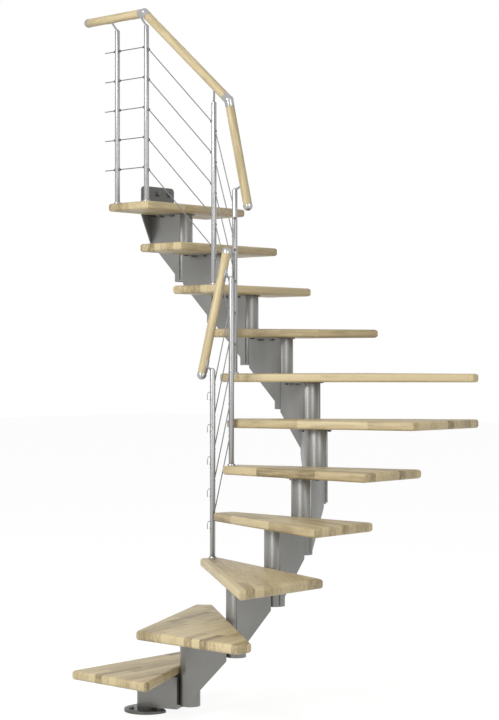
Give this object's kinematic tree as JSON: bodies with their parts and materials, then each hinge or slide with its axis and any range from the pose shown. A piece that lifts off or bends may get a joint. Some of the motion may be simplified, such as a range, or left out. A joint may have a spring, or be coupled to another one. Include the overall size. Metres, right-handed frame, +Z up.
{
  "type": "central stringer staircase",
  "caption": "Open half-turn staircase: wooden treads and winders on a single spine of bolted steel modules, with a post, rod and wooden handrail railing along the well.",
  "frame": {"origin": "centre of the floor flange's underside, on the floor under the first column", "axes": "+X along the first flight in the direction of climb, +Y to the left towards the upper flight, +Z up"},
  "size_m": [1.8723, 1.655, 3.241],
  "materials": {
    "tread_wood": "satin lacquered finger-jointed light hardwood",
    "rail_wood": "satin lacquered light hardwood",
    "module_steel": "satin silver grey powder coat",
    "fixing_steel": "satin dark grey powder coat",
    "post_steel": "satin steel",
    "rod_steel": "bright drawn steel",
    "joint_metal": "satin cast metal"
  },
  "bodies": {
    "root": {"tread_01": "tread_wood", "tread_02": "tread_wood", "tread_03": "tread_wood", "tread_04": "tread_wood", "tread_05": "tread_wood", "tread_06": "tread_wood", "tread_07": "tread_wood", "tread_08": "tread_wood", "tread_09": "tread_wood", "tread_10": "tread_wood", "tread_11": "tread_wood", "stringer_01": "module_steel", "stringer_02": "module_steel", "stringer_03": "module_steel", "stringer_04": "module_steel", "stringer_05": "module_steel", "stringer_06": "module_steel", "stringer_07": "module_steel", "stringer_08": "module_steel", "stringer_09": "module_steel", "stringer_10": "module_steel", "stringer_11": "module_steel", "floor_flange": "fixing_steel", "upper_floor_plate": "fixing_steel", "post_a": "post_steel", "post_b": "post_steel", "post_c": "post_steel", "post_d": "post_steel", "post_e": "post_steel", "post_f": "post_steel", "handrail_landing": "rail_wood", "handrail_upper": "rail_wood", "handrail_turn": "rail_wood", "handrail_lower": "rail_wood", "rail_elbow_top": "joint_metal", "rail_elbow_turn": "joint_metal", "rail_end_landing": "joint_metal", "rail_end_turn": "joint_metal", "rail_end_lower_top": "joint_metal", "rail_end_lower_foot": "joint_metal", "rods_ab": "rod_steel", "rods_bc": "rod_steel", "rods_cd": "rod_steel", "rods_de": "rod_steel", "rods_ef": "rod_steel"}
  },
  "joints": []
}
